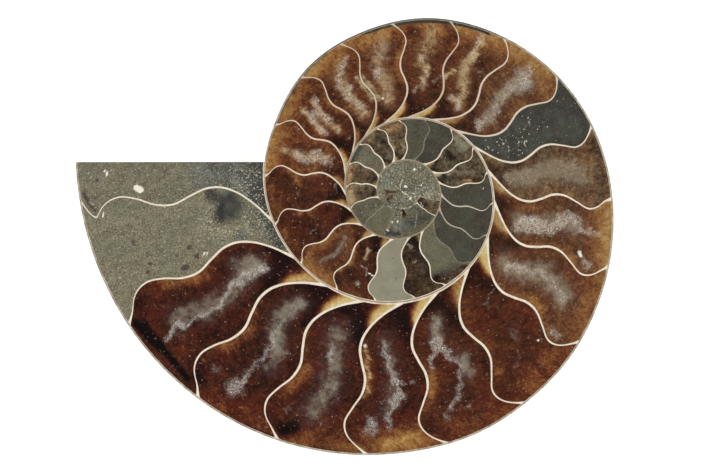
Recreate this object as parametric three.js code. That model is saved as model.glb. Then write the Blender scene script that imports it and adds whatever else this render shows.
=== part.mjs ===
// Half of a fossil ammonite, sawn through the middle of its coil and polished flat.
// Millimetres, +Z up. The polished face lies level on top and the rounded back rests below.
// The mouth is on the left, where the last whorl is sawn off straight along X.
// The fossil is one cemented body of shell wall, chamber walls, calcite and hardened mud,
// so the whole half is one closed surface, built round the centre of the coil.
import * as THREE from "three";
import { ParametricGeometry } from "three/addons/geometries/ParametricGeometry.js";
import { mergeGeometries, mergeVertices } from "three/addons/utils/BufferGeometryUtils.js";

// Driving dimensions of the coil.
const MOUTH_RADIUS = 60.3; // coil centre to the outer edge, straight left of the centre
const GROWTH = 0.136; // the radius grows by this power for each radian of coiling
const SEAM_RADIUS = 9.65; // coil centre to the seam between the whorls, at the mouth
const SAW_HEIGHT = 5.4; // the saw cut through the mouth runs this far above the centre
const HALF_THICKNESS = 12; // polished face to the fullest part of the back
const LEVEL_TURNS = 0.5; // the back stays this full over the last half turn, and rests there

// Slight swellings and waists of the outline: degrees back from the mouth, height, width in degrees.
const SWELLINGS = [
  [30, 0.15, 25],
  [108, 0.5, 10],
  [132, 0.3, 9],
  [172, -0.3, 16],
  [260, 0.2, 10],
  [285, -0.15, 10],
  [330, -0.5, 12],
];

// Section of a whorl. A share of 0 is the seam and 1 is the outer edge.
const CREST_SHARE = 0.22; // where the whorl is thickest
const FLANK_BULGE = 2; // how long the flank stays full before it falls to the outer edge
const EDGE_ROUND = 0.62; // roundness of the outer edge
const SHOULDER_BULGE = 2.4; // roundness of the shoulder above the seam
const SHOULDER_STEEP = 0.8; // steepness of the wall that drops to the seam

// Low sickle ribs on the outer half of the flank.
const RIBS_PER_TURN = 20;
const RIB_HEIGHT = 0.35;
const RIB_SWEEP = 0.022; // how far, in turns, a rib bends forward
const RIB_START = 0.35; // share where the ribs begin to rise
const RIB_FULL = 0.65; // share where they are fully raised

// Fineness of the surface.
const COLUMNS_PER_TURN = 120;
const FLANK_ROWS = 22;
const SHOULDER_ROWS = 5;
const INNER_TURNS = 2.5; // turns of the coil that show in the hollow of the back
const CENTRE_DEPTH = 1.5; // polished face to the bottom of that hollow

const FULL_TURN = 2 * Math.PI;
const TURN_DEGREES = 360;

// Along the coil, turn 0 is the saw cut through the mouth and turn -1 lies one whorl further in.
// Each turn's ray starts on the straight saw cut, so near the centre it leads by a growing angle.
function rayLead(radius) {
  return Math.asin(SAW_HEIGHT / Math.max(radius, SEAM_RADIUS));
}

function swelling(degreesBack) {
  const rise = ([place, height, width]) => height * Math.exp(-0.5 * ((degreesBack - place) / width) ** 2);
  return SWELLINGS.reduce((sum, entry) => sum + rise(entry), 0);
}

// The outer edge is a logarithmic spiral. Its ray depends on its own radius, so it is found in steps.
function rimRadius(turn) {
  let radius = MOUTH_RADIUS;
  for (let step = 0; step < 5; step += 1) {
    const back = -FULL_TURN * turn - rayLead(radius);
    radius = MOUTH_RADIUS * Math.exp(-GROWTH * back) + swelling((back / FULL_TURN) * TURN_DEGREES);
  }
  return radius;
}

function seamRadius(turn) {
  return SEAM_RADIUS * Math.exp(GROWTH * FULL_TURN * turn);
}

// Share of the way from the seam to the outer edge.
function shareAt(turn, radius) {
  const seam = seamRadius(turn);
  return (radius - seam) / (rimRadius(turn) - seam);
}

// Greatest thickness of the half whorl at this turn.
function fullness(turn) {
  const inward = Math.max(0, -turn - LEVEL_TURNS);
  const eased = (inward * inward) / (inward + 0.1);
  return HALF_THICKNESS * Math.exp(-GROWTH * FULL_TURN * eased);
}

function ribRise(turn, share) {
  const forward = RIB_SWEEP * Math.sin(share * FULL_TURN * 0.75);
  const wave = 0.5 - 0.5 * Math.cos(FULL_TURN * RIBS_PER_TURN * (turn - forward));
  const start = THREE.MathUtils.smoothstep(share, RIB_START, RIB_FULL);
  const end = 1 - THREE.MathUtils.smoothstep(share, 0.9, 1);
  return RIB_HEIGHT * wave * start * end * (fullness(turn) / HALF_THICKNESS);
}

// Thickness between the polished plane and the flank, from the crest out to the edge.
function flankDepth(turn, share) {
  const outward = Math.max(0, (share - CREST_SHARE) / (1 - CREST_SHARE));
  const fall = Math.max(0, 1 - outward ** FLANK_BULGE) ** EDGE_ROUND;
  return fullness(turn) * fall + ribRise(turn, share);
}

// The same for any point of the whorl. Inside the crest a rounded shoulder drops to the whorl within.
function backDepth(turn, radius) {
  const share = shareAt(turn, radius);
  if (share >= CREST_SHARE) {
    return flankDepth(turn, share);
  }
  const seamDepth = flankDepth(turn - 1, shareAt(turn - 1, seamRadius(turn)));
  const up = 1 - Math.max(0, 1 - share / CREST_SHARE) ** SHOULDER_BULGE;
  return seamDepth + (fullness(turn) - seamDepth) * up ** SHOULDER_STEEP;
}

// The point of the back at a turn and a radius. The polished plane is z = 0 here.
function backPoint(turn, radius, target) {
  const angle = Math.PI - rayLead(radius) - FULL_TURN * turn;
  return target.set(radius * Math.cos(angle), radius * Math.sin(angle), -backDepth(turn, radius));
}

// The last whorl's flank, coiling out to the mouth, and from the outer edge in to the shoulder.
// The rows crowd towards the edge, where the surface turns most.
function flankPoint(along, across, target) {
  const turn = along - 1;
  const rim = rimRadius(turn);
  const radius = rim - (rim - seamRadius(turn + 1)) * across ** 1.7;
  return backPoint(turn, radius, target);
}

// The shoulders that step down, whorl by whorl, into the hollow at the centre.
function shoulderPoint(along, across, target) {
  const turn = (along - 1) * INNER_TURNS;
  const seam = seamRadius(turn);
  const radius = seam + (seamRadius(turn + 1) - seam) * (1 - across) ** 1.5;
  return backPoint(turn, radius, target);
}

// A row of points along one edge of a surface, for the faces that close it.
function pointsAlong(surface, steps, place) {
  return Array.from({ length: steps + 1 }, (_, step) => surface(...place(step / steps), new THREE.Vector3()));
}

// A flat face through a closed loop of points, triangulated on two directions that lie in its plane.
function flatFace(loop, across, up) {
  const outline = loop.map((point) => new THREE.Vector2(point.dot(across), point.dot(up)));
  const geometry = new THREE.BufferGeometry().setFromPoints(loop);
  return geometry.setIndex(THREE.ShapeUtils.triangulateShape(outline, []).flat());
}

// The polished face, inside the outer edge and the saw cut.
function polishedFace() {
  const rim = pointsAlong(flankPoint, COLUMNS_PER_TURN, (share) => [share, 0]);
  return flatFace(rim, new THREE.Vector3(1, 0, 0), new THREE.Vector3(0, 1, 0));
}

// The saw cut through the mouth: the section of the last whorl, less that of the whorl it wraps.
function sawnEnd() {
  const outer = pointsAlong(flankPoint, FLANK_ROWS, (share) => [1, share]);
  const shoulder = pointsAlong(shoulderPoint, SHOULDER_ROWS, (share) => [1, share]);
  const inner = pointsAlong(flankPoint, FLANK_ROWS, (share) => [0, 1 - share]);
  const loop = [...outer, ...shoulder.slice(1), ...inner.slice(1)];
  return flatFace(loop, new THREE.Vector3(-1, 0, 0), new THREE.Vector3(0, 0, 1));
}

// The bottom of the hollow, where the first whorls are too small to tell apart.
function hollowCentre() {
  const columns = COLUMNS_PER_TURN * INNER_TURNS;
  const seam = pointsAlong(shoulderPoint, columns, (share) => [share, 1]).slice(0, COLUMNS_PER_TURN + 1);
  const step = pointsAlong(shoulderPoint, SHOULDER_ROWS, (share) => [0, share]);
  const loop = [...seam, ...step.slice(1, -1)];
  const centre = new THREE.Vector3(0, 0, -CENTRE_DEPTH);
  const faces = loop.map((_, corner) => [loop.length, corner, (corner + 1) % loop.length]);
  const geometry = new THREE.BufferGeometry().setFromPoints([...loop, centre]);
  return geometry.setIndex(faces.flat());
}

function positionsOnly(geometry) {
  geometry.deleteAttribute("normal");
  geometry.deleteAttribute("uv");
  return geometry;
}

const surfaces = [
  new ParametricGeometry(flankPoint, COLUMNS_PER_TURN, FLANK_ROWS),
  new ParametricGeometry(shoulderPoint, COLUMNS_PER_TURN * INNER_TURNS, SHOULDER_ROWS),
  polishedFace(),
  sawnEnd(),
  hollowCentre(),
];
const half = mergeVertices(mergeGeometries(surfaces.map(positionsOnly)), 1e-3);
half.computeVertexNormals();
half.computeBoundingBox();

const stone = new THREE.MeshStandardMaterial({ color: 0x5e3320, roughness: 0.3, metalness: 0 });
const ammonite = new THREE.Mesh(half, stone);
ammonite.name = "ammonite_half";

// The origin is the middle of the footprint, on the surface that the back rests on.
const { min, max } = half.boundingBox;
ammonite.position.set(-(min.x + max.x) / 2, -(min.y + max.y) / 2, -min.z);

const fossil = new THREE.Group();
fossil.add(ammonite);

export default fossil;
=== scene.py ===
# %% [markdown]
# # Half of a fossil ammonite
# An ammonite lived in the last part of a coiled shell, and sealed off the part behind it with
# one thin wall after another. Buried, its chambers filled with calcite crystals or with mud
# that hardened. This half was sawn through the middle of the coil and polished, so the
# chambers show as a mosaic on a flat face. We build it in Blender on top of the CAD solid.

# %% The frame
import math

import bpy
import numpy as np
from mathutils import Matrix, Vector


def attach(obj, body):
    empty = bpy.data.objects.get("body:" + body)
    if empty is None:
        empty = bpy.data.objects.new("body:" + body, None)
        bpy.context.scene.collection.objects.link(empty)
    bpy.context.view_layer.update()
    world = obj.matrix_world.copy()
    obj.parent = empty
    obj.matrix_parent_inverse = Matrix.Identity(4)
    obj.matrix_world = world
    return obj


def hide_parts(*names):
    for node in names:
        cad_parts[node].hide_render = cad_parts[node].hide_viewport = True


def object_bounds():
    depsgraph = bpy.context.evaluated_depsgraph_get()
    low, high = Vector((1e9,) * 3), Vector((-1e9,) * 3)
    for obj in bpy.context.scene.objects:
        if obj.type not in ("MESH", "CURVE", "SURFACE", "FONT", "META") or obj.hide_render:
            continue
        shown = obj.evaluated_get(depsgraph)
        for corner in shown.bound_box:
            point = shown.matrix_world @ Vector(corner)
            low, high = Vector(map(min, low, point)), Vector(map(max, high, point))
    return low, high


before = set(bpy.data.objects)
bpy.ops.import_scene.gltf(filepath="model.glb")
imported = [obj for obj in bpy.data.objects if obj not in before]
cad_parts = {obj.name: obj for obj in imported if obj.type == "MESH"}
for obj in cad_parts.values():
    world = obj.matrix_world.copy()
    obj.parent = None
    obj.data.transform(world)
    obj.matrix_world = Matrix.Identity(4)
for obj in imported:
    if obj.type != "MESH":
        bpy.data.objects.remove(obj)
cad_low, cad_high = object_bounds()
print("CAD box in mm:", [round(1000 * v, 2) for v in cad_high - cad_low])

# %% [markdown]
# ## The coil
# The shell grew by the same share for each degree it turned, which makes a logarithmic spiral.
# It could be drawn by hand as a curve, but one formula gives the edge of every whorl, and the
# real shell's small swellings are added to it. We work out the radius at an angle "back" from
# the mouth, in degrees. One turn back is 360 degrees further in. The numbers match the CAD source,
# and the last three swellings are added here for the inner whorls.

# %% The spiral
MOUTH_RADIUS = 60.3  # mm, coil centre to the outer edge, straight left of the centre
GROWTH = 0.136  # the radius grows by this power for each radian of coiling
SAW_HEIGHT = 5.4  # the cut through the mouth runs this far above the coil centre
SWELLINGS = [  # degrees back, height in mm, width in degrees
    (30, 0.15, 25),
    (108, 0.5, 10),
    (132, 0.3, 9),
    (172, -0.3, 16),
    (260, 0.2, 10),
    (285, -0.15, 10),
    (330, -0.5, 12),
    (400, -0.25, 28),
    (545, 0.15, 40),
    (705, -0.45, 38),
]
FREE_END = 348  # degrees back where the outer edge disappears under the mouth
INNER_END = 1100  # degrees back where the chambers get too small to tell apart
print("each turn inward shrinks the coil to", round(math.exp(-GROWTH * 2 * math.pi), 3))


# %% The outer edge
def edge(back):
    """Radius of a whorl's outer edge, in mm."""
    back = np.asarray(back, float)
    radius = MOUTH_RADIUS * np.exp(-GROWTH * np.radians(back))
    for place, height, width in SWELLINGS:
        radius = radius + height * np.exp(-0.5 * ((back - place) / width) ** 2)
    return radius


print("outer edge at each half turn:", edge(np.arange(0, 1081, 180)).round(2))


# %% Inside the shell
def wall_outside(back):
    """Thickness of shell between a chamber and the middle of the wall outside it, in mm."""
    places = [330, 350, 405, 425, 480, 500, 700, 745]
    return np.interp(back, places, [0.36, 0.2, 0.2, 0.32, 0.32, 0.21, 0.2, 0.13])


def chamber_radius(back, up):
    """Radius at a share up from a chamber's floor, 0, to its roof, 1."""
    floor = edge(back + 360) + wall_outside(back + 360)
    roof = edge(back) - wall_outside(back)
    return floor + (roof - floor) * up


def saw_line(up):
    """Degrees back of the straight saw cut at each share up."""
    back = np.zeros_like(up)
    for _ in range(6):  # each pass brings the radius and the angle closer together
        back = -np.degrees(np.arcsin(SAW_HEIGHT / chamber_radius(back, up)))
    return back


print("a chamber's floor and roof at the mouth:", chamber_radius(0.0, np.array([0.0, 1.0])).round(2))

# %% [markdown]
# ## The chamber walls
# Each wall, or septum, is a thin dome of shell that the animal built behind itself. Sawn through,
# a dome shows as a line with a double bend. Drawing 44 lines one by one would lose what they
# share, so we read each wall's place at mid height, and the bend in a few templates along the
# coil, and let a smooth curve run through the readings.

# %% Places and bends of the walls
WALLS = [
    3.3, 21.7, 41, 59.5, 78.8, 97.3, 117.8, 138.2, 159.3, 178.6, 197.5, 214.2, 233.3, 251.3,
    270.6, 289.8, 308.6, 329.4, 350.7, 371.4, 392.1, 412.7, 432.3, 452.3, 470, 489.3, 507.3,
    526.8, 546.6, 565.3, 585.5, 606.1, 626.2, 645.2, 665.9, 687, 710.5, 733.7, 759.5, 786,
    808, 835, 860.8, 883.8,
]  # degrees back at mid height
BEND_AT = np.array([0, 0.05, 0.1, 0.2, 0.3, 0.4, 0.5, 0.6, 0.7, 0.8, 0.9, 0.95, 1])
BENDS = {  # degrees back: degrees that the wall bends away at each share up
    40: [9, 3, -0.6, -4.1, -4.2, -2.1, 0, -0.1, -1.6, -2, 0.1, 2.5, 4.2],
    100: [10.5, 4.6, 1, -2.8, -3.6, -1.9, 0, 0.1, -1.7, -3.2, -1.8, 0, 2.6],
    170: [13.5, 7.3, 2.7, -2.2, -3.2, -1.8, 0, -0.2, -2.3, -4.3, -3.1, -1.5, 0],
    230: [12, 5.3, 0.9, -2.9, -3.5, -1.9, 0, 0.2, -1, -2.1, -0.8, 0.7, 2.8],
    290: [13, 4.9, 1.1, -2.7, -3.5, -2, 0, 0.1, -1.3, -2, -0.3, 1.3, 2.8],
    345: [12, 4.4, 1, -2.7, -3.5, -1.9, 0, -0.3, -1.9, -2.6, -0.4, 1.8, 3],
    410: [5, 2, -0.5, -3.3, -3.2, -1.6, 0, 0, -1.6, -2.2, 0, 2.3, 3.6],
    520: [8, 4.2, 1.7, -1.7, -2.4, -1.4, 0, 0, -0.6, -0.7, 1.6, 4.2, 5.5],
    660: [1.5, -0.5, -1.8, -3.1, -3, -1.6, 0, -0.1, -0.3, 0.5, 3, 5.2, 6.5],
    800: [0, 0, 0, -0.5, -0.8, -0.5, 0, 0, 0.3, 0.8, 1.5, 2, 2.5],
}
WALL_TIPS = {0: -5.5, 9: -1.2}  # degrees that a wall's outer tip hooks towards the mouth
TIP_START = 0.93  # share up
TIP_LENGTH = 0.07
print(len(WALLS), "walls,", len(BENDS), "bend templates")


# %% The line of a wall
def smooth_curve(x, knots, values):
    """A curve without kinks through the readings."""
    slope = np.gradient(values, knots)
    left = np.clip(np.searchsorted(knots, x) - 1, 0, len(knots) - 2)
    step = knots[left + 1] - knots[left]
    t = np.clip((x - knots[left]) / step, 0, 1)
    start = values[left] * (1 + 2 * t) * (1 - t) ** 2 + step * slope[left] * t * (1 - t) ** 2
    end = values[left + 1] * t * t * (3 - 2 * t) - step * slope[left + 1] * t * t * (1 - t)
    return start + end


def wall_line(number, up):
    """Degrees back of a wall's middle at each share up. Wall -1 is the saw cut."""
    if number < 0:
        return saw_line(up)
    if number >= len(WALLS):
        return np.full_like(up, INNER_END)
    readings = np.array(list(BENDS.values()), float)
    bend = [np.interp(WALLS[number], list(BENDS), column) for column in readings.T]
    tip = WALL_TIPS.get(number, 0.0) * np.clip((up - TIP_START) / TIP_LENGTH, 0, 1) ** 1.3
    return WALLS[number] + smooth_curve(up, BEND_AT, np.array(bend)) + tip


print("degrees back along wall 1:", wall_line(1, np.linspace(0, 1, 5)).round(1))

# %% How thick a wall is
HALF_WALL_AT = [0, 2, 8, 13, 18, 22, 36, 43]  # numbers of walls
HALF_WALL = [0.2, 0.27, 0.24, 0.19, 0.165, 0.14, 0.12, 0.07]  # mm


def half_wall(number, up):
    """Half a wall's thickness in mm: thinner near the roof, and flared where it meets the floor."""
    if number < 0 or number >= len(WALLS):
        return np.zeros_like(up)
    size = np.interp(number, HALF_WALL_AT, HALF_WALL)
    profile = np.interp(up, [0, 0.15, 0.55, 0.75, 0.9, 1], [1, 1, 0.95, 0.72, 0.6, 0.8])
    flare = 2.2 * np.exp(-up / 0.035) + 1.1 * np.exp(-(1 - up) / 0.02)
    return size * (profile + flare)


print("thickness of wall 1 at mid height, mm:", round(2 * float(half_wall(1, 0.5)), 2))

# %% [markdown]
# ## A sheet of points
# The polished face is one flat surface. Painting it as a picture would blur the walls close up,
# so the mesh is cut along every wall instead. Each chamber becomes a grid that follows its own
# bent walls, and narrow strips of shell join the grids. Every point also carries what fills the
# stone there, which the material reads later.

# %% Collecting points
FIELDS = ["across", "up", "along_mm", "up_mm", "cell", "roofward", "glow", "druse", "haze", "mud",
          "tone", "grain", "mark", "milk", "olive", "pale"]
points = []
fields = {name: [] for name in FIELDS}


def add_points(x, y, z, **values):
    """Keeps points in mm from the coil's centre, and returns their numbers in the same layout."""
    start = sum(len(block) for block in points)
    x, y, z = np.broadcast_arrays(x, y, z)
    points.append(np.stack([x.ravel(), y.ravel(), z.ravel()], axis=1))
    for name in FIELDS:
        value = np.broadcast_to(values.get(name, 0.0), x.shape)
        fields[name].append(value.ravel().astype(float))
    return start + np.arange(x.size).reshape(x.shape)


print("each point carries", len(FIELDS), "amounts")

# %% Joining points to faces
FILLING, WALL, SHELL, BACK, MOUTH = range(5)  # the finishes, in the order of the mesh's slots
faces = []
face_finish = []


def add_faces(corners, finish):
    """Keeps faces, given as the numbers of their corner points, and the finish they get."""
    faces.extend(corners)
    face_finish.extend([finish] * len(corners))


def grid_faces(numbers, finish, turned=False):
    """Four-cornered faces between the rows and columns of a grid."""
    corners = [numbers[:-1, :-1], numbers[1:, :-1], numbers[1:, 1:], numbers[:-1, 1:]]
    if turned:
        corners.reverse()
    add_faces(np.stack([c.ravel() for c in corners], axis=1).tolist(), finish)


def zip_faces(first, first_at, second, second_at, finish):
    """Triangles between two rows of points that differ in number, walking along both at once."""
    made = []
    i = j = 0
    while i < len(first) - 1 or j < len(second) - 1:
        second_done = j == len(second) - 1
        if second_done or (i < len(first) - 1 and first_at[i + 1] <= second_at[j + 1]):
            made.append([first[i], second[j], first[i + 1]])
            i += 1
        else:
            made.append([first[i], second[j], second[j + 1]])
            j += 1
    add_faces(made, finish)


print("five finishes, numbered", FILLING, "to", MOUTH)


# %% From turns to a flat face
def on_face(back, radius):
    """Flat coordinates of a polar place. Zero degrees back is to the left."""
    angle = math.pi + np.radians(back)
    return radius * np.cos(angle), radius * np.sin(angle)


print("the edge a quarter turn back, mm:", [round(float(v), 1) for v in on_face(90, edge(90))])

# %% [markdown]
# ## What fills each chamber
# Calcite grew inward from the walls as brown fibres: amber and yellow where it is clear, nearly
# black where it is deep, with a milky cloud and white crystals left in the middle. Where the
# shell was cracked, mud got in instead. No two chambers are alike, so we write down each one's
# filling: a calcite chamber by seven amounts, and a mud chamber by how pale and how grainy
# it is. Milk is calcite that turned opaque and tan. Olive says how far the calcite and its milk
# lean to a muddy green.

# %% Fillings
# chamber: glow of the body, of the near side, of the roof and of the corner, cloud, milk, olive
CALCITE = {
    1: (0.11, 0.35, 0.12, 0.85, 0.35, 0, 0),
    2: (0.11, 0.3, 0.2, 1, 0.3, 0, 0),
    3: (0.12, 0.3, 0.3, 1, 0.25, 0, 0),
    4: (0.13, 0.2, 0.45, 1, 0.3, 0, 0),
    5: (0.13, 0.3, 0.25, 0.65, 0.4, 0.05, 0),
    6: (0.17, 0.22, 0.25, 1.1, 0.15, 0.05, 0),
    7: (0.2, 0.35, 0.35, 0.65, 0.3, 0.2, 0.2),
    8: (0.19, 0.3, 0.65, 0.5, 0.5, 0.2, 0.3),
    9: (0.21, 0.3, 0.2, 0.3, 0.8, 0.34, 0.6),
    11: (0.24, 0.15, 0.5, 0.55, 0.4, 0.2, 0.3),
    12: (0.16, 0.25, 0.6, 0.9, 0.1, 0.12, 0.2),
    13: (0.17, 0.1, 0.4, 0.9, 0.2, 0.12, 0.1),
    14: (0.22, 0.35, 0.5, 0.6, 0.3, 0.1, 0.1),
    15: (0.19, 0.1, 0.6, 0.45, 0.1, 0.1, 0.1),
    16: (0.22, 0.35, 0.4, 0.75, 0.1, 0.05, 0.1),
    17: (0.23, 0.3, 0.5, 0.45, 0.1, 0.14, 0.1),
    18: (0.17, 0.35, 0.2, 0.65, 0.1, 0.02, 0.2),
    19: (0.16, 0.25, 0.2, 0.6, 0.1, 0, 0.1),
    20: (0.26, 0.3, 0.45, 0.6, 0.2, 0.08, 0.2),
    21: (0.14, 0.7, 0.2, 0.5, 0, 0, 0.3),
    23: (0.06, 0.05, 0.15, 0.5, 0.1, 0.05, 1),
    28: (0.12, 0.1, 0.2, 1, 0.3, 0.35, 1),
    29: (0.12, 0.1, 0.2, 0.7, 0.3, 0.35, 1),
    32: (0.14, 0.1, 0.35, 0.9, 0.3, 0.38, 0.8),
    33: (0.14, 0.1, 0.3, 0.35, 0.3, 0.34, 1),
    35: (0.13, 0.2, 0.55, 0.5, 0.1, 0.36, 0.9),
    36: (0.14, 0.2, 0.5, 0.25, 0.3, 0.4, 0.9),
    42: (0.14, 0.1, 0.2, 0.3, 0.1, 0.3, 1),
}
MUD = {  # chamber: paleness, graininess
    -1: (0.49, 1), 0: (0.54, 1), 10: (0.15, 0.25), 22: (0.88, 0.2), 24: (0.44, 0.3),
    25: (0.2, 0.15), 26: (0.19, 0.15), 27: (0.2, 0.15), 30: (0.19, 0.25), 31: (0.27, 0.25),
    34: (0.42, 0.6), 37: (0.34, 0.5), 38: (0.42, 0.3), 39: (0.44, 0.8), 40: (0.37, 0.6),
    41: (0.33, 0.5), 43: (0.46, 1), 50: (0.44, 0.9),
}
print(len(CALCITE), "chambers of calcite and", len(MUD), "of mud")
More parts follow.
